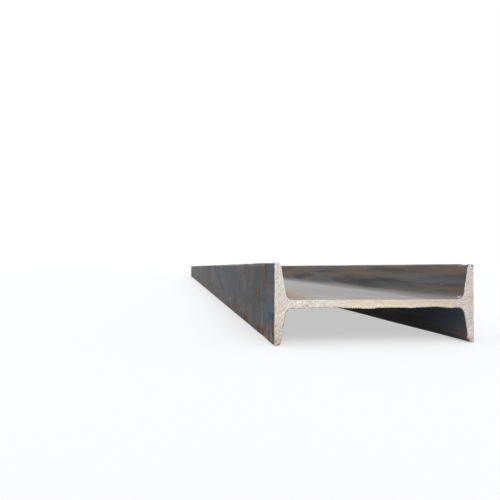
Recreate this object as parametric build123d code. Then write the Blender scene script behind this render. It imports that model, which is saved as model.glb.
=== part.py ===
from build123d import *

import os

# A hot-rolled steel beam of H section with tapered flanges, lying on the toes of its flanges with
# its web level. Millimetres: X runs across the depth of the section, Y along the beam, +Z up. The
# origin is under the middle of the beam, on the floor.

# The rolled section
section_depth = 360.0
flange_width = 140.0
web_thickness = 14.0
# A flange thins from the web to its toes. This thickness is measured halfway between the two.
flange_thickness = 15.8
flange_taper = 1 / 6
root_radius = 12.0
toe_radius = 6.0
# The rolled outer edges of a flange are only just broken.
edge_radius = 1.5

# The bar as it is cut for sale
stock_length = 6000.0

half_depth = section_depth / 2
half_width = flange_width / 2
half_web = web_thickness / 2
overhang = half_width - half_web
taper_rise = flange_taper * overhang / 2
root_inset = half_depth - flange_thickness - taper_rise
toe_inset = half_depth - flange_thickness + taper_rise


def sharp_section():
    """The section's outline before its corners are rounded, centred on the web."""
    quarter = [(root_inset, half_web), (toe_inset, half_width), (half_depth, half_width)]
    upper_right = [(x, y) for x, y in quarter]
    lower_right = [(x, -y) for x, y in reversed(quarter)]
    lower_left = [(-x, -y) for x, y in quarter]
    upper_left = [(-x, y) for x, y in reversed(quarter)]
    outline = Polyline(*upper_right, *lower_right, *lower_left, *upper_left, close=True)
    return make_face(outline)


def round_corners(section, across, up, radius):
    """Rounds the four like corners that lie this far from the section's two centre lines."""
    corners = [
        section.vertices().sort_by_distance((x, y, 0))[0]
        for x in (-across, across)
        for y in (-up, up)
    ]
    return fillet(corners, radius)


def rolled_section():
    """The finished section: web, two tapered flanges, root fillets and rounded toes."""
    section = sharp_section()
    section = round_corners(section, root_inset, half_web, root_radius)
    section = round_corners(section, toe_inset, half_width, toe_radius)
    return round_corners(section, half_depth, half_width, edge_radius)


def beam():
    """The section drawn out along the beam and set down on the toes of its flanges."""
    bar = extrude(Plane.XZ * rolled_section(), amount=stock_length / 2, both=True)
    return Pos(0, 0, half_width) * bar


os.makedirs("parts", exist_ok=True)
h_beam = beam()
h_beam.label = "h_beam"
export_step(h_beam, "parts/h_beam.step")
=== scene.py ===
import math
from collections import namedtuple
from functools import cached_property

import bpy
import numpy as np
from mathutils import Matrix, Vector
from mathutils.geometry import delaunay_2d_cdt


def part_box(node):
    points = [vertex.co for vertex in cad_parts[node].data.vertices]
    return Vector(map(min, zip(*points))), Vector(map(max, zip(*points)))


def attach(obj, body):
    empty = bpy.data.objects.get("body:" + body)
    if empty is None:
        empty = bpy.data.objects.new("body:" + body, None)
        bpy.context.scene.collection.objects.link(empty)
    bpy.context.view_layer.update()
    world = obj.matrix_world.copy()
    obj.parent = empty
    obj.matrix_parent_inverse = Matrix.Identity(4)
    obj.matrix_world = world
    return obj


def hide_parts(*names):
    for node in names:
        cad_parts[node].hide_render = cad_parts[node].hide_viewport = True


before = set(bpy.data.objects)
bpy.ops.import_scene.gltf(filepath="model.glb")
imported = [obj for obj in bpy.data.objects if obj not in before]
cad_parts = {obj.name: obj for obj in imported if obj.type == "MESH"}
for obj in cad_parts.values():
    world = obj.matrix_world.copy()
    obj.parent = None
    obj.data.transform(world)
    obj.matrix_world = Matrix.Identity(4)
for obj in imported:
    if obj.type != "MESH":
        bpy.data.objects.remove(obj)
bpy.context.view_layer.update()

# A hot-rolled steel beam with tapered flanges, lying on its flange toes. Metres: X runs across the
# depth of the section, Y along the beam, +Z up. The overall sizes come from the frame, and the
# section's other sizes are those of the rolled solid.

low, high = (np.array(corner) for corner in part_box("h_beam"))
LENGTH = high[1] - low[1]
HALF_DEPTH = (high[0] - low[0]) / 2
HALF_WIDTH = (high[2] - low[2]) / 2
HALF_WEB = 0.007
FLANGE_THICKNESS = 0.0158
FLANGE_TAPER = 1 / 6
ROOT_RADIUS = 0.012
TOE_RADIUS = 0.006
EDGE_RADIUS = 0.0015

TAPER_RISE = FLANGE_TAPER * (HALF_WIDTH - HALF_WEB) / 2
ROOT_INSET = HALF_DEPTH - FLANGE_THICKNESS - TAPER_RISE
TOE_INSET = HALF_DEPTH - FLANGE_THICKNESS + TAPER_RISE

# How finely the section is divided. Near its ends the skin has every point, and along the body it
# keeps one point in FINE_TO_COARSE, so all of these are multiples of that.
FINE_TO_COARSE = 3
WEB_STEPS = 135
SLOPE_STEPS = 24
OUTER_STEPS = 63
TOE_STEPS = 3
ROOT_ARC_STEPS = 12
TOE_ARC_STEPS = 9
EDGE_ARC_STEPS = 3

# Rings of the skin, from a cut end inwards
END_ZONE = 0.09
END_RINGS = 20
FIRST_RING = 0.0012
BODY_FIRST_GAP = 0.007
BODY_GAP_GROWTH = 1.035
BODY_LAST_GAP = 0.036

# The points of a cut's face: the step of their grid, how far they stray from it as a share of the
# step, how clear of the rim they stay, and how far in from it the rim's look reaches
CUT_GRID = 0.00095
CUT_GRID_JITTER = 0.3
RIM_MARGIN = 0.0007
RIM_WIDTH = 0.0016

# How the points are joined: by triangles inside the rim only, with points this close made one
INSIDE_TRIANGLES = 1
MERGE_DISTANCE = 1e-7

# Relief: its height, the distance between its features, and its own seed, which is added to that
# of the end it is on. The means keep the dressed beam just inside the true section.
Relief = namedtuple("Relief", "height cell seed")
SKIN_MEAN = 0.00025
SKIN_WAVES = Relief(0.00035, 0.11, 31)
SKIN_RIPPLES = Relief(0.00016, 0.045, 32)
ROLLING_STRETCH = 3.0
TOE_MEAN = 0.0005
TOE_WANDER = Relief(0.0004, 0.09, 41)
TOE_NICKS = Relief(0.0016, 0.032, 42)
CUT_MEAN = 0.0016
CUT_WANDER = Relief(0.0009, 0.055, 0)
CUT_LUMPS = Relief(0.00035, 0.009, 1)
CUT_GRAIN = Relief(0.00030, 0.0024, 2)
CUT_PITS = Relief(0.0008, 0.0045, 4)
DRAG_HEIGHT = 0.00028
DRAG_PITCH = 0.0044
DRAG_LEAN = math.radians(38)
DRAG_BEND = Relief(0.0025, 0.030, 3)
DRAG_PATCHES = Relief(1.0, 0.05, 8)
RIM_MEAN = 0.00012
RIM_CHIPS = Relief(0.00035, 0.0042, 5)
RIM_WANDER = Relief(0.00025, 0.013, 6)
RIM_SAG = Relief(0.0006, 0.035, 9)
DROSS_HEIGHT = 0.0011
DROSS_PITCH = 0.0040
DROSS_SWING = Relief(2.0, 0.02, 7)

# Levels of the noise between which a thing begins and is whole
PIT_LEVELS = (0.45, 0.85)
NICK_LEVELS = (0.62, 0.85)
DRAG_LEVELS = (-0.3, 0.6)
FACING_DOWN = (0.3, 0.9)

# Cells along a side of a noise lattice before it repeats, by its number of dimensions
LATTICE_SIDES = {2: 64, 3: 24}

# Marks that the near end carries: place on the section about its middle, depth behind the cut, how
# the surface moves there (x, z), reach across the section, reach along the beam
Mark = namedtuple("Mark", "place depth shift across along")
TOE_NOTCH = Mark((TOE_INSET, -HALF_WIDTH + 0.0035), 0.0, (0.0016, 0.0004), 0.0032, 0.010)
TOE_BURR = Mark((TOE_INSET - 0.001, -HALF_WIDTH + 0.0100), 0.0, (-0.0034, -0.0004), 0.0026, 0.004)
TOP_CHIP = Mark((HALF_DEPTH, HALF_WIDTH), 0.0, (-0.0010, -0.0012), 0.0035, 0.008)
FOOT_CHIP = Mark((-HALF_DEPTH + 0.003, -HALF_WIDTH), 0.0, (0.0004, 0.0008), 0.0050, 0.016)
BEAD = Mark((0.1550, 0.0087), 0.007, (-0.0020, 0.0040), 0.0030, 0.0034)
BEAD_TOP = (0.1532, low[1] + BEAD.depth, HALF_WIDTH + 0.0122)
BEAD_RADIUS = 0.0042
# Painted shadow: a dark spot on the cut by the chipped top corner, where its burr lies in shade
TOP_CHIP_SHADE_PLACE = (HALF_DEPTH - 0.001, low[1], 2 * HALF_WIDTH - 0.003)
TOP_CHIP_SHADE_REACH = 0.0045

# How far the web's lower edge rises or hangs at places across the near end
EDGE_DIPS = [
    (-0.100, 0.0006), (-0.088, 0.0012), (-0.076, 0.0014), (-0.064, 0.0010), (-0.022, -0.0009),
    (-0.010, -0.0009), (0.062, -0.0007), (0.098, 0.0008), (0.110, 0.0013), (0.136, -0.0006),
]
DIP_REACH = 0.008
DIP_DEPTH = 0.007
NEAR_MARKS = [TOE_NOTCH, TOE_BURR, TOP_CHIP, FOOT_CHIP, BEAD]
NEAR_MARKS += [Mark((x, -HALF_WEB), 0.0, (0.0, rise), DIP_REACH, DIP_DEPTH) for x, rise in EDGE_DIPS]

# The ends: direction along Y, seed of the cut's relief, marks
ENDS = [(-1, 100, NEAR_MARKS), (1, 200, [])]

# The layout of the beam's surface on a square map. The two cuts lie side by side along the bottom,
# larger than life, with the two halves of the skin above them.
MAP_NAME = "OFBake"
MAP_MARGIN = 0.006
CUT_MAP_WIDTH = 0.5 - 2 * MAP_MARGIN
CUT_MAP_HEIGHT = CUT_MAP_WIDTH * HALF_WIDTH / HALF_DEPTH
SKIN_MAP_FOOT = CUT_MAP_HEIGHT + 2 * MAP_MARGIN
SKIN_MAP_HEIGHT = (1 - SKIN_MAP_FOOT) / 2 - MAP_MARGIN

SKIN_SLOT = 0
CUT_SLOT = 1


def unit(vector):
    return vector / np.linalg.norm(vector)


def smooth_step(edge_low, edge_high, value):
    part = np.clip((value - edge_low) / (edge_high - edge_low), 0, 1)
    return part * part * (3 - 2 * part)


def lattice_noise(points, cell, seed):
    """Smooth noise from -1 to 1 with features about a cell across, at points of any dimension."""
    dimensions = points.shape[1]
    side = LATTICE_SIDES[dimensions]
    table = np.random.default_rng(seed).uniform(-1, 1, (side,) * dimensions)
    scaled = points / cell
    base = np.floor(scaled).astype(int)
    part = scaled - base
    blend = part * part * (3 - 2 * part)
    total = np.zeros(len(points))
    for corner in np.ndindex(*(2,) * dimensions):
        corner = np.array(corner)
        weight = np.where(corner == 1, blend, 1 - blend).prod(axis=1)
        total += weight * table[tuple(((base + corner) % side).T)]
    return total


def relief(points, form, seed=0):
    return form.height * lattice_noise(points, form.cell, seed + form.seed)


def hollows(points, form, levels, seed=0):
    """Hollows where the noise is high, as deep as the form's height."""
    return form.height * smooth_step(*levels, lattice_noise(points, form.cell, seed + form.seed))


# The section

def corner_arc(before, corner, after, radius, steps):
    """The points of the arc that rounds a corner, from its first tangent point to its last."""
    towards_before = unit(before - corner)
    towards_after = unit(after - corner)
    half = math.acos(towards_before @ towards_after) / 2
    centre = corner + unit(towards_before + towards_after) * radius / math.sin(half)
    reach = radius / math.tan(half)
    first = corner + towards_before * reach - centre
    last = corner + towards_after * reach - centre
    turn = math.pi - 2 * half
    share = np.linspace(0, 1, steps + 1)[:, None]
    swing = first * np.sin((1 - share) * turn) + last * np.sin(share * turn)
    return centre + swing / math.sin(turn)


def section_outline():
    """The rounded section as points (x, z) about its middle, clockwise as seen from the near end."""
    quarter = [
        ((ROOT_INSET, HALF_WEB), ROOT_RADIUS, ROOT_ARC_STEPS, SLOPE_STEPS),
        ((TOE_INSET, HALF_WIDTH), TOE_RADIUS, TOE_ARC_STEPS, TOE_STEPS),
        ((HALF_DEPTH, HALF_WIDTH), EDGE_RADIUS, EDGE_ARC_STEPS, OUTER_STEPS),
    ]
    # On the way back each corner is followed by the stretch that came before it.
    back_steps = [TOE_STEPS, SLOPE_STEPS, WEB_STEPS]
    corners = []
    for side in (1, -1):
        corners += [((side * x, side * z), r, arc, run) for (x, z), r, arc, run in quarter]
        returning = zip(reversed(quarter), back_steps)
        corners += [((side * x, -side * z), r, arc, run) for ((x, z), r, arc, _), run in returning]
    places = [np.array(place) for place, *_ in corners]
    arcs = []
    for i, (_, radius, arc_steps, _) in enumerate(corners):
        after = places[(i + 1) % len(places)]
        arcs.append(corner_arc(places[i - 1], places[i], after, radius, arc_steps))
    points = []
    for i, (_, _, _, run_steps) in enumerate(corners):
        start = arcs[i][-1]
        end = arcs[(i + 1) % len(arcs)][0]
        points += list(arcs[i])
        points += [start + (end - start) * n / run_steps for n in range(1, run_steps)]
    return np.array(points)


def outward(outline):
    """Unit normals of a clockwise outline, pointing out of the steel."""
    along = np.roll(outline, -1, axis=0) - np.roll(outline, 1, axis=0)
    normals = np.stack([-along[:, 1], along[:, 0]], axis=1)
    return normals / np.linalg.norm(normals, axis=1)[:, None]


def travelled(outline):
    """How far round a closed outline each point is, with the whole way round as a last value."""
    steps = np.linalg.norm(np.roll(outline, -1, axis=0) - outline, axis=1)
    return np.concatenate([[0.0], np.cumsum(steps)])


OUTLINE = section_outline()
NORMALS = outward(OUTLINE)
WAY_ROUND = travelled(OUTLINE)


# The cut ends

def cut_recess(places, seed):
    """How far the rough face of a cut lies behind its true plane, at places (x, z)."""
    rough = sum(relief(places, form, seed) for form in (CUT_WANDER, CUT_LUMPS, CUT_GRAIN))
    # Drag lines slant across the cut, strongest in patches.
    across = places[:, 0] * math.cos(DRAG_LEAN) - places[:, 1] * math.sin(DRAG_LEAN)
    across += relief(places, DRAG_BEND, seed)
    strength = smooth_step(*DRAG_LEVELS, relief(places, DRAG_PATCHES, seed))
    lines = DRAG_HEIGHT * strength * np.sin(across * 2 * math.pi / DRAG_PITCH)
    return CUT_MEAN + rough + lines + hollows(places, CUT_PITS, PIT_LEVELS, seed)


def rim_inset(places, normals, seed):
    """How far the edge of a cut is rounded back from the outline. Dross hangs under the web."""
    ragged = relief(places, RIM_CHIPS, seed) + relief(places, RIM_WANDER, seed)
    underside = smooth_step(*FACING_DOWN, -normals[:, 1]) * (places[:, 1] > -HALF_WIDTH / 2)
    swing = relief(places, DROSS_SWING, seed)
    beads = DROSS_HEIGHT * np.abs(np.sin(places[:, 0] * math.pi / DROSS_PITCH + swing))
    return RIM_MEAN + ragged - underside * (beads + relief(places, RIM_SAG, seed))


def marks_shift(places, depth_in, marks):
    """How marks move the skin at places (x, z) that lie depth_in behind a cut."""
    total = np.zeros_like(places)
    for mark in marks:
        off = np.linalg.norm(places - np.array(mark.place), axis=1) / mark.across
        behind = (depth_in - mark.depth) / mark.along
        total += np.exp(-off ** 2 - behind ** 2)[:, None] * np.array(mark.shift)
    return total


# The skin

def rolled_offset(places, y):
    """The slight waves that rolling and cooling leave in a surface."""
    points = np.column_stack([places, np.full(len(places), y / ROLLING_STRETCH)])
    ripples = relief(points * [1, 1, ROLLING_STRETCH], SKIN_RIPPLES)
    return relief(points, SKIN_WAVES) + ripples


def toe_wear(places, y):
    """How far the toes fall short of their true width, with a nick here and there, as (x, z)."""
    near_toe = smooth_step(HALF_WIDTH - 2 * TOE_RADIUS, HALF_WIDTH, np.abs(places[:, 1]))
    # Each of the four toes has a number of its own, so that it wears in its own way.
    toe_number = 2.0 * np.sign(places[:, 0]) + np.sign(places[:, 1])
    along = np.column_stack([toe_number, np.full(len(places), y)])
    nicks = hollows(along, TOE_NICKS, NICK_LEVELS)
    short = near_toe * (TOE_MEAN + relief(along, TOE_WANDER) + nicks)
    return np.column_stack([np.zeros(len(places)), np.sign(places[:, 1]) * short])


def skin_ring(depth_in, end, marks, recess, stride):
    """One ring of the skin as points (x, y, z), this far behind the cut at an end. Near the cut it
    follows the cut's recess. It takes one point of the outline in each stride."""
    places, normals, recess = OUTLINE[::stride], NORMALS[::stride], recess[::stride]
    follow = max(0.0, 1 - depth_in / END_ZONE) ** 2
    y = end * (LENGTH / 2 - depth_in)
    push = SKIN_MEAN + rolled_offset(places, y)
    placed = places - normals * push[:, None] - toe_wear(places, y)
    placed += marks_shift(places, depth_in, marks)
    return np.column_stack([placed[:, 0], y - end * recess * follow, placed[:, 1] + HALF_WIDTH])


def body_depths():
    """How far behind the near cut each ring of the body lies. They are closest by the ends, and
    one lies halfway."""
    half = LENGTH / 2 - END_ZONE
    gaps = []
    while sum(gaps) < half:
        gaps.append(min(BODY_LAST_GAP, BODY_FIRST_GAP * BODY_GAP_GROWTH ** len(gaps)))
    first_half = END_ZONE + np.cumsum(gaps) * half / sum(gaps)
    return np.concatenate([first_half, LENGTH - first_half[-2::-1]])


# The mesh

Ring = namedtuple("Ring", "numbers depth")


class MeshMaker:
    """Collects points and faces, with each face's material and its corners' places on the map."""

    def __init__(self):
        self.points, self.rim_share = [], []
        self.faces, self.slots, self.map_places = [], [], []
        self.count = 0

    def add(self, points, rim_share=0.0):
        """Takes in points (x, y, z), with how near a cut's rim each is, and returns their numbers."""
        self.points.append(points)
        self.rim_share.append(np.broadcast_to(rim_share, len(points)))
        self.count += len(points)
        return list(range(self.count - len(points), self.count))

    def face(self, corners, slot, flip):
        """Adds a face, given each corner's point number and place on the map."""
        corners = corners[::-1] if flip else corners
        self.faces.append([number for number, _ in corners])
        self.map_places += [place for _, place in corners]
        self.slots.append(slot)

    def mesh(self, name, sharp_edges):
        made = bpy.data.meshes.new(name)
        made.from_pydata(np.vstack(self.points).tolist(), [], self.faces)
        made.polygons.foreach_set("material_index", np.array(self.slots, np.int32))
        made.polygons.foreach_set("use_smooth", np.ones(len(self.faces), bool))
        sharp = [tuple(sorted(edge.vertices)) in sharp_edges for edge in made.edges]
        made.attributes.new("sharp_edge", "BOOLEAN", "EDGE").data.foreach_set("value", sharp)
        rim_share = np.concatenate(self.rim_share)
        made.attributes.new("rim", "FLOAT", "POINT").data.foreach_set("value", rim_share)
        layer = made.uv_layers.new(name=MAP_NAME)
        layer.data.foreach_set("uv", np.array(self.map_places, np.float32).ravel())
        made.update()
        return made


def cut_place(x, z, end):
    """Where a place on a cut lies on the map."""
    left = MAP_MARGIN + (0.5 if end > 0 else 0.0)
    across = (1 - end * x / HALF_DEPTH) / 2
    up = (1 + z / HALF_WIDTH) / 2
    return left + across * CUT_MAP_WIDTH, MAP_MARGIN + up * CUT_MAP_HEIGHT


def skin_place(depth, way_round, half):
    """Where a place on the near (0) or far (1) half of the skin lies on the map."""
    along = depth / (LENGTH / 2) - half
    foot = SKIN_MAP_FOOT + half * (SKIN_MAP_HEIGHT + MAP_MARGIN)
    across = MAP_MARGIN + along * (1 - 2 * MAP_MARGIN)
    return across, foot + (1 - way_round / WAY_ROUND[-1]) * SKIN_MAP_HEIGHT


def join(maker, first, second, flip):
    """Faces between two rings of the skin, where the second may have fewer points."""
    half = int(first.depth + second.depth > LENGTH)
    step = len(first.numbers) // len(second.numbers)

    def corner(ring, i):
        stride = len(OUTLINE) // len(ring.numbers)
        place = skin_place(ring.depth, WAY_ROUND[i * stride], half)
        return ring.numbers[i % len(ring.numbers)], place

    for i in range(len(second.numbers)):
        run = [corner(first, i * step + n) for n in range(step + 1)]
        here, there = corner(second, i), corner(second, i + 1)
        for n in range(step - 1):
            maker.face([run[n], run[n + 1], here], SKIN_SLOT, flip)
        maker.face([run[-2], run[-1], there, here], SKIN_SLOT, flip)


def inside_outline(points, outline):
    """Which points lie inside a closed outline."""
    x, z = points[:, 0], points[:, 1]
    inside = np.zeros(len(points), bool)
    for (x0, z0), (x1, z1) in zip(outline, np.roll(outline, -1, axis=0)):
        if z0 != z1:
            crosses = (z0 > z) != (z1 > z)
            inside ^= crosses & (x < (x1 - x0) * (z - z0) / (z1 - z0) + x0)
    return inside


def cut_face(rim, seed):
    """Points (x, z) inside a rim, the rim's first, the triangles that join them, and how near the
    rim each point is, from 1 on it to 0."""
    rng = np.random.default_rng(seed)
    grid = np.stack(np.meshgrid(
        np.arange(-HALF_DEPTH, HALF_DEPTH, CUT_GRID),
        np.arange(-HALF_WIDTH, HALF_WIDTH, CUT_GRID),
    ), axis=-1).reshape(-1, 2)
    grid += rng.uniform(-CUT_GRID_JITTER, CUT_GRID_JITTER, grid.shape) * CUT_GRID
    grid = grid[inside_outline(grid, rim)]
    gap = np.full(len(grid), np.inf)
    for point in rim:
        gap = np.minimum(gap, np.linalg.norm(grid - point, axis=1))
    clear = gap > RIM_MARGIN
    points = np.vstack([rim, grid[clear]])
    at_rim = np.concatenate([np.ones(len(rim)), np.exp(-(gap[clear] / RIM_WIDTH) ** 2)])
    edges = [(i, (i + 1) % len(rim)) for i in range(len(rim))]
    flat = [tuple(point) for point in points.tolist()]
    joined = delaunay_2d_cdt(flat, edges, [], INSIDE_TRIANGLES, MERGE_DISTANCE)
    corners, _, triangles, origins = joined[:4]
    if len(corners) != len(points):
        raise ValueError("the cut face's points merged")
    source = [numbers[0] for numbers in origins]
    return points, [[source[i] for i in triangle] for triangle in triangles], at_rim


def add_end(maker, end, seed, marks):
    """A cut and the skin's rings behind it. Returns the last ring and the edges of the rim."""
    inset = SKIN_MEAN + rim_inset(OUTLINE, NORMALS, seed)
    rim = OUTLINE - NORMALS * inset[:, None] - toe_wear(OUTLINE, end * LENGTH / 2)
    rim += marks_shift(OUTLINE, 0.0, marks)
    places, triangles, at_rim = cut_face(rim, seed)
    recess = cut_recess(places, seed)
    y = end * (LENGTH / 2 - recess)
    numbers = maker.add(np.column_stack([places[:, 0], y, places[:, 1] + HALF_WIDTH]), at_rim)
    on_map = [cut_place(x, z, end) for x, z in places]
    for triangle in triangles:
        maker.face([(numbers[i], on_map[i]) for i in triangle], CUT_SLOT, flip=end > 0)

    def ring(numbers, depth_in):
        return Ring(numbers, depth_in if end < 0 else LENGTH - depth_in)

    last = ring(numbers[: len(rim)], 0.0)
    neighbours = last.numbers[1:] + last.numbers[:1]
    rim_edges = {tuple(sorted(pair)) for pair in zip(last.numbers, neighbours)}
    growth = np.linspace(0, 1, END_RINGS) ** 2
    for depth_in in FIRST_RING + growth * (END_ZONE - FIRST_RING):
        points = skin_ring(depth_in, end, marks, recess[: len(rim)], stride=1)
        fresh = ring(maker.add(points), depth_in)
        join(maker, last, fresh, flip=end > 0)
        last = fresh
    return last, rim_edges


def beam_mesh():
    """The whole beam as one closed mesh: the skin's rings, and a rough face on each end."""
    maker = MeshMaker()
    (near, near_rim), (far, far_rim) = (add_end(maker, *each) for each in ENDS)
    last = near
    flat = np.zeros(len(OUTLINE))
    for depth in body_depths():
        points = skin_ring(depth, -1, [], flat, stride=FINE_TO_COARSE)
        fresh = Ring(maker.add(points), depth)
        join(maker, last, fresh, flip=False)
        last = fresh
    join(maker, far, last, flip=True)
    return maker.mesh("rolled_beam", near_rim | far_rim)


# Materials

# Base colours, as light that the surface sends back
SCALE_DARK = (0.026, 0.033, 0.043)
SCALE_LIGHT = (0.112, 0.117, 0.129)
TEMPER_BLUE = (0.058, 0.081, 0.112)
TEMPER_PLUM = (0.112, 0.090, 0.094)
# Painted skylight: a lighter blue for the inner faces in the shade under the web
UNDER_PAINTED_SKYLIGHT = (0.090, 0.116, 0.156)
DUST_VEIL = (0.275, 0.248, 0.226)
RUST_VEIL = (0.300, 0.220, 0.165)
RUST_FILM = (0.190, 0.138, 0.104)
RUST_OLIVE = (0.168, 0.139, 0.092)
RUST_DEEP = (0.118, 0.066, 0.042)
RUST_FRESH = (0.255, 0.150, 0.090)
DRIP_PALE = (0.270, 0.255, 0.240)
STAIN_BLUE = (0.070, 0.097, 0.132)
STAIN_RED = (0.165, 0.115, 0.097)
STAIN_PINK = (0.300, 0.235, 0.208)
STAIN_PALE = (0.250, 0.225, 0.175)
BARE_FLECK = (0.46, 0.44, 0.42)
DUST = (0.53, 0.515, 0.495)
DUST_TAN = (0.50, 0.395, 0.285)
CUT_LEFT = (0.78, 0.655, 0.535)
CUT_PALE = (0.85, 0.780, 0.690)
CUT_WEB_LEFT = (0.92, 0.845, 0.735)
CUT_WEB_LOWER = (0.95, 0.830, 0.675)
CUT_WEB_CREAM = (0.82, 0.700, 0.535)
CUT_WEB_UPPER = (0.84, 0.705, 0.560)
CUT_WEB_DULL = (0.70, 0.550, 0.420)
CUT_RIGHT = (0.71, 0.660, 0.640)
CUT_RIGHT_WARM = (0.735, 0.635, 0.580)
CUT_PINK = (0.80, 0.640, 0.570)
# Dark specks, also used as painted shade in the grooves of the drag lines
CUT_SPECK_AND_GROOVE_SHADE = (0.36, 0.305, 0.265)
CUT_BROWNED = (0.31, 0.235, 0.190)
# Dross, also used as painted shade on the lower rim and by the chipped top corner
CUT_DROSS_AND_SHADE = (0.110, 0.092, 0.080)
CUT_GLINT = (0.90, 0.870, 0.815)
BEAD_PALE = (0.64, 0.570, 0.535)

# A pattern is noise: features to the metre along X, Y and Z, seed, octaves of detail, and how
# strong each octave is beside the last. The seed says how far the noise is moved.
Pattern = namedtuple("Pattern", "scales seed detail roughness", defaults=(0.55,))
SEED_DIRECTION = (1.0, 0.7, -1.0)

# A ramp goes smoothly from one level to another as a value passes from its start to its end. Each
# layer's ramps stand above its function, and lengths in them are in metres.
Ramp = namedtuple("Ramp", "start end low high", defaults=(0.0, 1.0))

# A bump raises a pattern to a depth in metres, at a strength from 0 to 1.
Bump = namedtuple("Bump", "pattern strength depth")

# The part of a spot's reach over which it is whole
SPOT_CORE = 0.6

# Where a Mix node has its two values and its result, by what it mixes
MIX_SOCKETS = {"RGBA": (6, 7, 2), "FLOAT": (2, 3, 0)}


class Nodes:
    """A node tree, with short calls for making its nodes."""

    def __init__(self, tree):
        self.tree = tree

    def node(self, kind, inputs=None, **settings):
        made = self.tree.nodes.new(kind)
        for key, value in settings.items():
            setattr(made, key, value)
        self.feed(made, inputs or {})
        return made

    def feed(self, node, inputs):
        """Gives a node's inputs links or values. A colour is red, green and blue."""
        for key, value in inputs.items():
            socket = node.inputs[key]
            if isinstance(value, bpy.types.NodeSocket):
                self.tree.links.new(value, socket)
            elif socket.type == "RGBA":
                socket.default_value = (*value, 1.0)
            else:
                socket.default_value = value

    def math(self, operation, a, b=0.0):
        return self.node("ShaderNodeMath", {0: a, 1: b}, operation=operation).outputs["Value"]

    def most(self, first, *others):
        for other in others:
            first = self.math("MAXIMUM", first, other)
        return first

    def add(self, first, *others):
        for other in others:
            first = self.math("ADD", first, other)
        return first

    def times(self, first, *others):
        for other in others:
            first = self.math("MULTIPLY", first, other)
        return first


class Shader(Nodes):
    """A material of one surface, with short calls for its patterns and layers."""

    def __init__(self, name):
        self.material = bpy.data.materials.new(name)
        self.material.use_nodes = True
        super().__init__(self.material.node_tree)
        self.surface = self.tree.nodes["Principled BSDF"]
        self.patterns = {}

    @cached_property
    def place(self):
        return self.node("ShaderNodeTexCoord").outputs["Object"]

    @cached_property
    def axes(self):
        return self.node("ShaderNodeSeparateXYZ", {"Vector": self.place}).outputs

    @cached_property
    def pattern_place(self):
        return self.place

    def ramp(self, value, ramp):
        """The level that a ramp has at a value."""
        inputs = {
            "Value": value, "From Min": ramp.start, "From Max": ramp.end,
            "To Min": ramp.low, "To Max": ramp.high,
        }
        made = self.node("ShaderNodeMapRange", inputs, interpolation_type="SMOOTHSTEP")
        return made.outputs["Result"]

    def noise(self, pattern):
        """A pattern from 0 to 1, made once and shared by the layers that use it."""
        if pattern not in self.patterns:
            place = self.node("ShaderNodeMapping", {
                "Vector": self.pattern_place, "Scale": pattern.scales,
                "Location": tuple(pattern.seed * part for part in SEED_DIRECTION),
            })
            self.patterns[pattern] = self.noise_at(place, pattern)
        return self.patterns[pattern]

    def streaks(self, pattern, lean):
        """A pattern whose Z leans from upright in the plane of a cut."""
        place = self.node("ShaderNodeMapping", {
            "Vector": self.place, "Location": (pattern.seed,) * 3, "Rotation": (0.0, lean, 0.0),
            "Scale": tuple(1 / scale for scale in pattern.scales),
        }, vector_type="TEXTURE")
        return self.noise_at(place, pattern)

    def noise_at(self, mapping, pattern):
        made = self.node("ShaderNodeTexNoise", {
            "Vector": mapping.outputs["Vector"], "Scale": 1.0,
            "Detail": pattern.detail, "Roughness": pattern.roughness,
        })
        return made.outputs["Fac"]

    def near(self, place, reach):
        """1 close to a place, falling to 0 at a reach from it."""
        gap = self.node("ShaderNodeVectorMath", {0: self.place, 1: place}, operation="DISTANCE")
        return self.ramp(gap.outputs["Value"], Ramp(reach * SPOT_CORE, reach, 1.0, 0.0))

    def mix(self, share, a, b, kind="RGBA"):
        """Goes from one colour, or number, to another as a share goes from 0 to 1."""
        first, second, result = MIX_SOCKETS[kind]
        made = self.node("ShaderNodeMix", {0: share, first: a, second: b}, data_type=kind)
        return made.outputs[result]

    def bump(self, height, form, under=None):
        """The normal of a bump, on top of another where one is given."""
        inputs = {"Height": height, "Strength": form.strength, "Distance": form.depth}
        if under is not None:
            inputs["Normal"] = under
        return self.node("ShaderNodeBump", inputs).outputs["Normal"]


# The rolled skin

BANDS = Pattern((34, 1.3, 34), 1, 6)
MOTTLE = Pattern((38, 22, 38), 2, 7, 0.62)
HEAT_TINTS = Pattern((13, 4.5, 13), 3, 3)
GRAIN = Pattern((150, 90, 150), 8, 5, 0.65)
CLOUDS = Pattern((24, 16, 24), 9, 8, 0.62)
STRIPES = Pattern((52, 6.5, 52), 10, 8, 0.60)
RUST_HUES = Pattern((7, 2, 7), 11, 4)
ZONES = Pattern((3, 2.4, 3), 12, 3)
SPOTS = Pattern((44, 18, 44), 14, 8, 0.64)
RUNS = Pattern((1, 64, 8), 16, 5, 0.60)
CHIPS = Pattern((120, 70, 120), 19, 4, 0.70)
SCRATCHES = Pattern((420, 3.5, 420), 20, 2)
DUST_CLOUDS = Pattern((20, 6, 20), 21, 6)
BRUSHED = Pattern((66, 9, 66), 22, 6, 0.62)
PITTING = Pattern((900, 500, 900), 30, 3)
ROLL_LINES = Pattern((300, 14, 300), 33, 2)

ON_OUTER = Ramp(0.85 * HALF_DEPTH, 0.95 * HALF_DEPTH)
BELOW_WEB = Ramp(HALF_WIDTH - ROOT_RADIUS, HALF_WIDTH, 1.0, 0.0)
INNER_DRAW = 0.35


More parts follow.
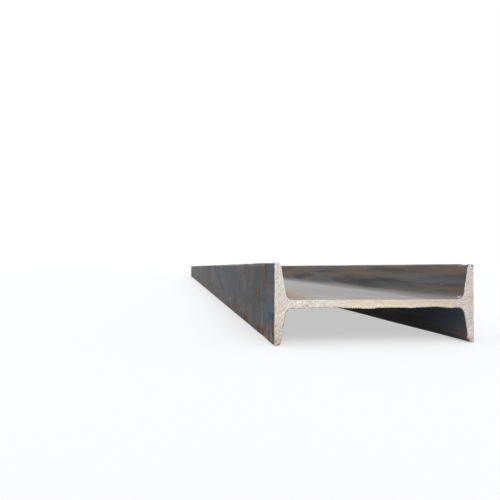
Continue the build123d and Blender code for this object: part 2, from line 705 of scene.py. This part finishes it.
class Skin(Shader):
    """The rolled skin's material, with what its layers share: where on the beam a point lies, and
    patterns that are drawn out along the rolling on the inner faces."""

    def __init__(self, name):
        super().__init__(name)
        self.x, self.y, self.z = self.axes
        normal = self.node("ShaderNodeNewGeometry").outputs["Normal"]
        facing = self.node("ShaderNodeSeparateXYZ", {"Vector": normal}).outputs
        self.facing_up = facing["Z"]
        self.from_front = self.add(self.y, LENGTH / 2)
        self.from_end = self.math("SUBTRACT", LENGTH / 2, self.math("ABSOLUTE", self.y))
        self.outer = self.ramp(self.times(facing["X"], self.x), ON_OUTER)
        self.below = self.ramp(self.z, BELOW_WEB)
        self.under = self.math("SUBTRACT", self.below, self.times(self.below, self.outer))

    @cached_property
    def pattern_place(self):
        draw = self.mix(self.math("ROUND", self.outer), INNER_DRAW, 1.0, kind="FLOAT")
        inputs = {"X": self.x, "Y": self.times(self.y, draw), "Z": self.z}
        return self.node("ShaderNodeCombineXYZ", inputs).outputs["Vector"]


BAND_SHARE = 0.55
MOTTLE_SHARE = 0.45
# Painted shade: the outer faces are made darker than the scale's own tone.
OUTER_PAINTED_SHADE = -0.05
SCALE_SHADES = Ramp(0.40, 0.61)
HEATED_BY_CUT = Ramp(0.0, 0.22, 0.14, 0.0)
BLUE_TINTS = Ramp(0.55, 0.68, 0.0, 0.85)
PLUM_TINTS = Ramp(0.34, 0.46, 0.75, 0.0)
UNDER_SKYLIGHT_SHARES = Ramp(0.40, 0.60, 0.55, 0.95)


def scale_shade(s):
    """How light the scale is: rolling bands broken by a mottle, with painted shade on outer faces."""
    bands = s.times(s.noise(BANDS), BAND_SHARE)
    mottle = s.times(s.noise(MOTTLE), MOTTLE_SHARE)
    return s.add(bands, mottle, s.times(s.outer, OUTER_PAINTED_SHADE))


def rolled_scale(s, shade):
    """The scale itself, with heat tints in patches, bluest beside the cuts on the outer faces and
    under the web. Under the web a lighter blue is also mixed in, as painted skylight in the shade
    there.
    """
    colour = s.mix(s.ramp(shade, SCALE_SHADES), SCALE_DARK, SCALE_LIGHT)
    tints = s.noise(HEAT_TINTS)
    heat = s.times(s.ramp(s.from_end, HEATED_BY_CUT), s.most(s.outer, s.below))
    colour = s.mix(s.ramp(s.add(tints, heat), BLUE_TINTS), colour, TEMPER_BLUE)
    colour = s.mix(s.ramp(tints, PLUM_TINTS), colour, TEMPER_PLUM)
    # Painted skylight: lighter blue mixed into the shaded inner faces under the web.
    return s.mix(s.times(s.under, s.ramp(s.noise(MOTTLE), UNDER_SKYLIGHT_SHARES)), colour, UNDER_PAINTED_SKYLIGHT)


FILM_BLOTCHES = Ramp(0.40, 0.64)
FILM_GRAIN = Ramp(0.30, 0.62, 0.45, 1.0)
FILM_ZONES = Ramp(0.36, 0.62, 0.35, 1.2)
FILM_INSIDE = Ramp(0.0, 1.0, 1.0, 0.15)
FILM_OUTSIDE = Ramp(0.05, 0.30, 0.25, 0.60)
FILM_HUES = Ramp(0.42, 0.60)


def rust_film(s, colour):
    """A thin film of rust in broken blotches, with grain inside them. Returns its share too."""
    blotches = s.mix(s.outer, s.noise(STRIPES), s.noise(CLOUDS), kind="FLOAT")
    inside = s.ramp(s.below, FILM_INSIDE)
    coverage = s.mix(s.outer, inside, s.ramp(s.from_end, FILM_OUTSIDE), kind="FLOAT")
    broken = s.times(s.ramp(blotches, FILM_BLOTCHES), s.ramp(s.noise(GRAIN), FILM_GRAIN))
    film = s.times(broken, coverage, s.ramp(s.noise(ZONES), FILM_ZONES))
    hue = s.mix(s.ramp(s.noise(RUST_HUES), FILM_HUES), RUST_FILM, RUST_OLIVE)
    return s.mix(film, colour, hue), film


RUST_SPOTS = Ramp(0.565, 0.70, 0.0, 0.9)
RUST_LOW_DOWN = Ramp(0.0, 0.07, 0.11, 0.0)
RUST_OUTSIDE = Ramp(0.0, 1.0, 0.3, 1.0)
RUST_BY_CUT = Ramp(0.0, 0.25, 0.04, 0.0)
RUST_WASHED = Ramp(0.35, 0.65, 0.08, -0.08)
RUST_SPARED = -0.06
RUST_SHADES = Ramp(0.42, 0.62)


def deep_rust(s, colour):
    """Deeper rust in spots, more of it low down and beside the cuts, and less under the web and
    where water has run down the outer faces. Returns its share too."""
    low_down = s.times(s.ramp(s.z, RUST_LOW_DOWN), s.ramp(s.outer, RUST_OUTSIDE))
    by_cut = s.ramp(s.from_end, RUST_BY_CUT)
    washed = s.times(s.ramp(s.noise(RUNS), RUST_WASHED), s.outer)
    spared = s.times(s.under, RUST_SPARED)
    deep = s.ramp(s.add(s.noise(SPOTS), low_down, by_cut, washed, spared), RUST_SPOTS)
    hue = s.mix(s.ramp(s.noise(GRAIN), RUST_SHADES), RUST_DEEP, RUST_FRESH)
    return s.mix(deep, colour, hue), deep


PALE_RUNS = Ramp(0.575, 0.70, 0.0, 0.60)
RUN_BREAKS = Ramp(0.42, 0.56)


def pale_runs(s, colour):
    """Pale runs down the outer faces, broken here and there. Returns their share too."""
    pale = s.times(s.ramp(s.noise(RUNS), PALE_RUNS), s.outer, s.ramp(s.noise(CLOUDS), RUN_BREAKS))
    return s.mix(pale, colour, DRIP_PALE), pale


STAINED_SIDE = Ramp(-0.01, 0.01, 1.0, 0.0)
STAIN_DRIFT = Ramp(0.3, 0.7, -0.012, 0.012)
BLUED_FRONT = Ramp(0.05, 0.14, 0.95, 0.0)
BLUED_FOOT = Ramp(0.020, 0.038)
BLUED_HEAD = Ramp(0.068, 0.090, 1.0, 0.0)
RUSTY_FRONT = Ramp(0.05, 0.17, 0.9, 0.0)
RUSTY_FOOT = Ramp(0.012, 0.042, 1.0, 0.0)
RUSTY_HUES = Ramp(0.39, 0.57)
RUN_BACK = 0.125
RUN_WOBBLE = Ramp(0.3, 0.7, -0.006, 0.006)
RUN_WIDTH = Ramp(0.003, 0.012, 0.6, 0.0)
RUN_HEAD = Ramp(0.054, 0.074, 1.0, 0.0)
RUN_FOOT = Ramp(0.008, 0.022)


def near_stains(s, colour):
    """On the left outer face beside the near cut: a blued patch, a rusty foot and one pale run."""
    side = s.times(s.outer, s.ramp(s.x, STAINED_SIDE))
    height = s.add(s.z, s.ramp(s.noise(RUNS), STAIN_DRIFT))
    at_blued = s.times(s.ramp(height, BLUED_FOOT), s.ramp(height, BLUED_HEAD))
    blued = s.times(s.ramp(s.from_front, BLUED_FRONT), at_blued)
    colour = s.mix(s.times(side, blued), colour, STAIN_BLUE)
    rusty = s.times(s.ramp(s.from_front, RUSTY_FRONT), s.ramp(height, RUSTY_FOOT))
    hue = s.mix(s.ramp(s.noise(RUNS), RUSTY_HUES), STAIN_RED, STAIN_PINK)
    colour = s.mix(s.times(side, rusty), colour, hue)
    off_run = s.add(s.from_front, -RUN_BACK, s.ramp(s.noise(MOTTLE), RUN_WOBBLE))
    along_run = s.times(s.ramp(s.z, RUN_HEAD), s.ramp(s.z, RUN_FOOT))
    run = s.times(s.ramp(s.math("ABSOLUTE", off_run), RUN_WIDTH), along_run)
    return s.mix(s.times(side, run), colour, STAIN_PALE)


FLECKS = Ramp(0.635, 0.70)
FLECK_ZONES = Ramp(0.42, 0.60, 0.15, 0.8)
SCRATCHED = Ramp(0.685, 0.74, 0.0, 0.35)


def bare_flecks(s, colour):
    """Flecks where the scale has come off, and scratches along the beam."""
    chipped = s.times(s.ramp(s.noise(CHIPS), FLECKS), s.ramp(s.noise(HEAT_TINTS), FLECK_ZONES))
    colour = s.mix(chipped, colour, BARE_FLECK)
    return s.mix(s.ramp(s.noise(SCRATCHES), SCRATCHED), colour, BARE_FLECK)


VEIL_SLOPES = Ramp(0.08, 0.15, 0.0, 0.60)
VEIL_FOOT = Ramp(0.010, 0.045, 0.60, 0.0)
VEIL_BRUSHED = Ramp(0.36, 0.60, 0.25, 1.15)
VEIL_HUES = Ramp(0.46, 0.60)


def dust_veil(s, colour):
    """A veil of dust on the slopes that face up, and low down inside."""
    on_foot = s.times(s.under, s.ramp(s.z, VEIL_FOOT))
    where = s.most(s.ramp(s.facing_up, VEIL_SLOPES), on_foot)
    veil = s.times(where, s.ramp(s.noise(BRUSHED), VEIL_BRUSHED))
    hue = s.mix(s.ramp(s.noise(STRIPES), VEIL_HUES), DUST_VEIL, RUST_VEIL)
    return s.mix(veil, colour, hue)


DUST_FACING = Ramp(0.50, 0.97)
DUST_LAYER = Ramp(0.30, 0.62, 0.55, 0.95)
# Painted shade: less dust, so a darker web, towards the web's right root
DUST_PAINTED_SHADE = Ramp(0.5 * ROOT_INSET, ROOT_INSET, 1.0, 0.45)
TAN_ROOT = Ramp(-0.145, -0.080, 1.0, 0.0)
TAN_SPREAD = Ramp(0.0, 0.35, 0.0, -0.060)
TAN_DRIFT = Ramp(0.3, 0.7, -0.025, 0.025)
TAN_FRONT = Ramp(0.15, 0.60, 1.0, 0.0)
TAN_ZONES = Ramp(0.48, 0.64)
TAN_CUT_EDGE = Ramp(0.0, 0.05, 0.4, 0.0)
TAN_ON_WEB = Ramp(HALF_WIDTH + 0.02, HALF_WIDTH + 0.04, 1.0, 0.0)


def settled_dust(s, colour):
    """Dust on what faces up, tan by the left root of the web, where it spreads away from the near
    cut. Towards the web's right root the dust thins, as painted shade. Returns its share too."""
    layer = s.ramp(s.noise(DUST_CLOUDS), DUST_LAYER)
    dusty = s.times(s.ramp(s.facing_up, DUST_FACING), layer, s.ramp(s.x, DUST_PAINTED_SHADE))
    spread = s.ramp(s.from_front, TAN_SPREAD)
    by_root = s.ramp(s.add(s.x, spread, s.ramp(s.noise(MOTTLE), TAN_DRIFT)), TAN_ROOT)
    in_zones = s.most(s.ramp(s.from_front, TAN_FRONT), s.ramp(s.noise(ZONES), TAN_ZONES))
    patches = s.most(s.times(by_root, in_zones), s.ramp(s.from_end, TAN_CUT_EDGE))
    tan = s.times(patches, s.ramp(s.z, TAN_ON_WEB))
    return s.mix(dusty, colour, s.mix(tan, DUST, DUST_TAN)), dusty


SCALE_ROUGHNESS = Ramp(0.38, 0.62, 0.50, 0.66)
FILM_ROUGHNESS = 0.82
RUST_ROUGHNESS = 0.95
DUST_ROUGHNESS = 0.9
SCALE_SPECULAR = 0.10
SKIN_BUMPS = [
    Bump(PITTING, 0.35, 0.0004),
    Bump(ROLL_LINES, 0.25, 0.0004),
    Bump(SPOTS, 0.6, 0.0015),
    Bump(CHIPS, 0.4, 0.0012),
]


def mill_scale():
    """Blue-grey rolling scale, worn and filmed with rust, dusty where it faces up. It carries painted
    shade on the outer faces and by the web's right root, and painted skylight under the web.
    """
    s = Skin("mill_scale")
    shade = scale_shade(s)
    colour = rolled_scale(s, shade)
    colour, film = rust_film(s, colour)
    colour, deep = deep_rust(s, colour)
    colour, pale = pale_runs(s, colour)
    colour = near_stains(s, colour)
    colour = bare_flecks(s, colour)
    colour = dust_veil(s, colour)
    colour, dusty = settled_dust(s, colour)
    colour = s.mix(s.near(BEAD_TOP, BEAD_RADIUS), colour, BEAD_PALE)
    rough = s.most(
        s.ramp(shade, SCALE_ROUGHNESS), s.times(film, FILM_ROUGHNESS), s.times(deep, RUST_ROUGHNESS),
        s.times(dusty, DUST_ROUGHNESS), pale,
    )
    normal = None
    for each in SKIN_BUMPS:
        normal = s.bump(s.noise(each.pattern), each, normal)
    s.feed(s.surface, {
        "Base Color": colour, "Roughness": rough, "Specular IOR Level": SCALE_SPECULAR,
        "Normal": normal,
    })
    return s.material


# The cut steel

GRAINS = Pattern((420, 420, 420), 2, 4, 0.60)
BLUSHES = Pattern((26, 26, 26), 3, 2)
PATCHES = Pattern((60, 60, 60), 4, 5, 0.60)
DRAG_STREAKS = Pattern((620, 620, 45), 6, 3, 0.50)
SPECKS = Pattern((230, 230, 230), 8, 5, 0.70)
GRIT = Pattern((1100, 1100, 1100), 12, 3)
WEB_DRIFT = Pattern((16, 16, 60), 5, 4)

ROOT_EDGE = ROOT_INSET - ROOT_RADIUS
FLANGE_MIDDLE = HALF_DEPTH - FLANGE_THICKNESS / 2
LEFT_UPPER = Ramp(0.4 * HALF_WIDTH, HALF_WIDTH)
LEFT_TO_WEB = Ramp(-FLANGE_MIDDLE, -ROOT_EDGE)
WEB_TO_RIGHT = Ramp(0.8 * ROOT_EDGE, FLANGE_MIDDLE)
RIGHT_UPPER = Ramp(HALF_WIDTH - 2 * HALF_WEB, HALF_WIDTH)
BLUSHING = Ramp(0.50, 0.66, 0.0, 0.5)
WEB_DRIFTING = Ramp(0.3, 0.7, -0.004, 0.004)
WEB_UPWARDS = Ramp(HALF_WIDTH - 0.004, HALF_WIDTH + 0.004)
LOWER_DULLED = Ramp(0.05, 0.09)
UPPER_DULLED = Ramp(0.02, 0.09)
WEB_TANNED = Ramp(-0.09, -0.03)


def web_hues(s):
    """Pale on the web's left, and in layers on the rest of it, brighter below and duller above. Both
    layers dull towards the right."""
    x, _, z = s.axes
    height = s.add(z, s.ramp(s.noise(WEB_DRIFT), WEB_DRIFTING))
    lower = s.mix(s.ramp(x, LOWER_DULLED), CUT_WEB_LOWER, CUT_WEB_CREAM)
    upper = s.mix(s.ramp(x, UPPER_DULLED), CUT_WEB_UPPER, CUT_WEB_DULL)
    layers = s.mix(s.ramp(height, WEB_UPWARDS), lower, upper)
    return s.mix(s.ramp(x, WEB_TANNED), CUT_WEB_LEFT, layers)


def cut_hues(s):
    """Tan on the left flange, cream on the web and grey on the right flange, where it is warmer
    above, with a blush in places."""
    x, _, z = s.axes
    left = s.mix(s.ramp(z, LEFT_UPPER), CUT_LEFT, CUT_PALE)
    colour = s.mix(s.ramp(x, LEFT_TO_WEB), left, web_hues(s))
    right = s.mix(s.ramp(z, RIGHT_UPPER), CUT_RIGHT, CUT_RIGHT_WARM)
    colour = s.mix(s.ramp(x, WEB_TO_RIGHT), colour, right)
    return s.mix(s.ramp(s.noise(BLUSHES), BLUSHING), colour, CUT_PINK)


DULL_PATCHES = Ramp(0.47, 0.68, 0.0, 0.24)
OFF_RIM = Ramp(0.0, 0.5, 1.0, 0.0)
DRAG_GROOVE_PAINTED_SHADE = Ramp(0.36, 0.50, 0.26, 0.0)
GRAINS_DARK = Ramp(0.34, 0.50, 0.55, 0.0)
GRAIN_PAINTED_GLINTS = Ramp(0.52, 0.66, 0.0, 0.8)
SPECKS_BROWN = Ramp(0.59, 0.68, 0.0, 0.6)
SMOOTH_FROM = Ramp(-0.08, -0.02)
SMOOTH_TO = Ramp(0.12, 0.155, 1.0, 0.0)
COARSENESS = Ramp(0.0, 1.0, 1.0, 0.4)


def cut_grain(s, colour, rim, drag):
    """Dull patches, drag lines darkened in their grooves as painted shade, dark grains, light grains
    painted as glints, and brown specks, all fainter on the web.
    """
    x = s.axes["X"]
    coarse = s.ramp(s.times(s.ramp(x, SMOOTH_FROM), s.ramp(x, SMOOTH_TO)), COARSENESS)
    dull = s.times(s.ramp(s.noise(PATCHES), DULL_PATCHES), s.ramp(rim, OFF_RIM), coarse)
    colour = s.mix(dull, colour, CUT_SPECK_AND_GROOVE_SHADE)
    # Painted shade in the grooves of the drag lines, where their bump lies lowest
    colour = s.mix(s.times(s.ramp(drag, DRAG_GROOVE_PAINTED_SHADE), coarse), colour, CUT_SPECK_AND_GROOVE_SHADE)
    colour = s.mix(s.times(s.ramp(s.noise(GRAINS), GRAINS_DARK), coarse), colour, CUT_SPECK_AND_GROOVE_SHADE)
    # Painted glints: light grains in the colour of a glint
    colour = s.mix(s.times(s.ramp(s.noise(GRAINS), GRAIN_PAINTED_GLINTS), coarse), colour, CUT_GLINT)
    return s.mix(s.times(s.ramp(s.noise(SPECKS), SPECKS_BROWN), coarse), colour, CUT_BROWNED)


TOE_STAIN = Ramp(0.0, 0.018, 1.0, 0.0)
TOE_PATCHES = Ramp(0.40, 0.58, 0.4, 0.9)
AT_RIM = Ramp(0.25, 0.9)
HIGHLIT_UPPER_RIM = Ramp(HALF_WIDTH - HALF_WEB, HALF_WIDTH)
LOWER_RIM = Ramp(HALF_WIDTH - HALF_WEB, HALF_WIDTH, 1.0, 0.0)
INNER_RIM = Ramp(TOE_INSET + 0.004, HALF_DEPTH - 0.003, 1.0, 0.0)
RIM_PAINTED_HIGHLIGHT = Ramp(0.30, 0.55, 0.35, 0.95)
RIM_DROSS_AND_SHADE = Ramp(0.38, 0.56, 0.15, 0.9)


def cut_edges(s, colour, rim):
    """Brown at the toes that stand on the ground, and a painted highlight along the rim above. Dross
    darkens the rim below, with painted shade where it faces down, and a painted shadow lies by the
    chipped top corner.
    """
    x, _, z = s.axes
    at_toe = s.times(s.ramp(z, TOE_STAIN), s.ramp(s.noise(PATCHES), TOE_PATCHES))
    colour = s.mix(at_toe, colour, CUT_BROWNED)
    # Painted highlight: the upper rim is lightened as if it catches the light.
    at_rim = s.ramp(rim, AT_RIM)
    rim_highlight = s.times(at_rim, s.ramp(z, HIGHLIT_UPPER_RIM), s.ramp(s.noise(PATCHES), RIM_PAINTED_HIGHLIGHT))
    colour = s.mix(rim_highlight, colour, CUT_GLINT)
    # Dross on the lower rim, darkened further as painted shade on the edge that faces down.
    inner = s.ramp(s.math("ABSOLUTE", x), INNER_RIM)
    dross_and_shade = s.times(at_rim, s.ramp(z, LOWER_RIM), inner, s.ramp(s.noise(SPECKS), RIM_DROSS_AND_SHADE))
    colour = s.mix(dross_and_shade, colour, CUT_DROSS_AND_SHADE)
    # Painted shadow by the chipped top corner
    return s.mix(s.near(TOP_CHIP_SHADE_PLACE, TOP_CHIP_SHADE_REACH), colour, CUT_DROSS_AND_SHADE)


CUT_ROUGHNESS = Ramp(0.3, 0.7, 0.62, 0.45)
CUT_METALLIC = 0.1
GRIT_BUMP = Bump(GRIT, 0.4, 0.0004)
DRAG_BUMP = Bump(DRAG_STREAKS, 0.5, 0.0008)


def cut_steel():
    """The rough, pale, slightly tanned face that a cut leaves, with painted glints, a painted
    highlight on its upper rim, and painted shade in its grooves, on its lower rim and by a chipped
    corner.
    """
    s = Shader("cut_steel")
    rim = s.node("ShaderNodeAttribute", attribute_name="rim").outputs["Fac"]
    drag = s.streaks(DRAG_BUMP.pattern, DRAG_LEAN)
    colour = cut_hues(s)
    colour = cut_grain(s, colour, rim, drag)
    colour = cut_edges(s, colour, rim)
    normal = s.bump(drag, DRAG_BUMP, s.bump(s.noise(GRIT_BUMP.pattern), GRIT_BUMP))
    s.feed(s.surface, {
        "Base Color": colour, "Roughness": s.ramp(s.noise(GRAINS), CUT_ROUGHNESS),
        "Metallic": CUT_METALLIC, "Normal": normal,
    })
    return s.material


def add_beam():
    beam = bpy.data.objects.new("rolled_beam", beam_mesh())
    bpy.context.scene.collection.objects.link(beam)
    beam.data.materials.append(mill_scale())
    beam.data.materials.append(cut_steel())
    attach(beam, "root")
    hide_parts("h_beam")


# The studio

FLOOR_REACH = 60.0
FLOOR_COLOUR = (0.50, 0.50, 0.50)
FLOOR_GLOW = 0.54
FLOOR_ROUGHNESS = 0.9
FLOOR_SPECULAR = 0.1
SUN_STRENGTH = 1.4
SUN_SOFTNESS = math.radians(35)
SUN_AIM = (-0.06, 0.76, -0.65)
SKY_COLOUR = (0.93, 0.96, 1.0)
SKY_STRENGTH = 0.60
WHITE = (1.0, 1.0, 1.0)


def seen_directly(nodes):
    """1 on rays that show a surface to the camera, in a mirror or through glass, and 0 on light."""
    path = nodes.node("ShaderNodeLightPath").outputs
    return nodes.most(path["Is Camera Ray"], path["Is Glossy Ray"], path["Is Transmission Ray"])


def pale_floor():
    s = Shader("pale_floor")
    s.feed(s.surface, {
        "Base Color": FLOOR_COLOUR, "Roughness": FLOOR_ROUGHNESS,
        "Specular IOR Level": FLOOR_SPECULAR, "Emission Color": WHITE,
        "Emission Strength": s.times(seen_directly(s), FLOOR_GLOW),
    })
    return s.material


def add_floor():
    mesh = bpy.data.meshes.new("floor")
    square = [(-1, -1), (1, -1), (1, 1), (-1, 1)]
    mesh.from_pydata([(FLOOR_REACH * x, FLOOR_REACH * y, 0.0) for x, y in square], [], [(0, 1, 2, 3)])
    mesh.materials.append(pale_floor())
    floor = bpy.data.objects.new("floor", mesh)
    bpy.context.scene.collection.objects.link(floor)


def add_sun():
    lamp = bpy.data.lights.new("sun", "SUN")
    lamp.energy = SUN_STRENGTH
    lamp.angle = SUN_SOFTNESS
    sun = bpy.data.objects.new("sun", lamp)
    sun.rotation_euler = Vector(SUN_AIM).to_track_quat("-Z", "Y").to_euler()
    bpy.context.scene.collection.objects.link(sun)


def add_sky():
    """A pale sky for light, which shows as plain white."""
    world = bpy.data.worlds.new("studio")
    bpy.context.scene.world = world
    world.use_nodes = True
    nodes = Nodes(world.node_tree)
    sky = nodes.tree.nodes["Background"]
    nodes.feed(sky, {"Color": SKY_COLOUR, "Strength": SKY_STRENGTH})
    backdrop = nodes.node("ShaderNodeBackground", {"Color": WHITE, "Strength": 1.0})
    shown = nodes.node("ShaderNodeMixShader", {
        "Fac": seen_directly(nodes), 1: sky.outputs["Background"], 2: backdrop.outputs["Background"],
    })
    nodes.feed(nodes.tree.nodes["World Output"], {"Surface": shown.outputs["Shader"]})


# The camera, as the photograph was taken: close to the near end, looking along the beam and a
# little to the right of it. The focal length is in pixels of a frame 500 pixels wide.
FRAME_PIXELS = 500
FOCAL_PIXELS = 480
SENSOR_MM = 36.0
NEAREST = 0.01
CAMERA_TURN = math.radians(8.30)
CAMERA_TILT = math.radians(2.04)
CAMERA_ROLL = math.radians(0.30)
CAMERA_LEFT = 0.336
CAMERA_BACK = 0.785
CAMERA_HEIGHT = 0.1316


def add_camera():
    data = bpy.data.cameras.new("camera")
    data.sensor_width = SENSOR_MM
    data.lens = SENSOR_MM * FOCAL_PIXELS / FRAME_PIXELS
    data.clip_start = NEAREST
    camera = bpy.data.objects.new("camera", data)
    camera.location = (-CAMERA_LEFT, low[1] - CAMERA_BACK, CAMERA_HEIGHT)
    camera.rotation_euler = (math.pi / 2 + CAMERA_TILT, -CAMERA_ROLL, -CAMERA_TURN)
    bpy.context.scene.collection.objects.link(camera)
    bpy.context.scene.camera = camera


add_camera()
add_beam()
add_floor()
add_sun()
add_sky()
bpy.context.scene.view_settings.view_transform = "Standard"
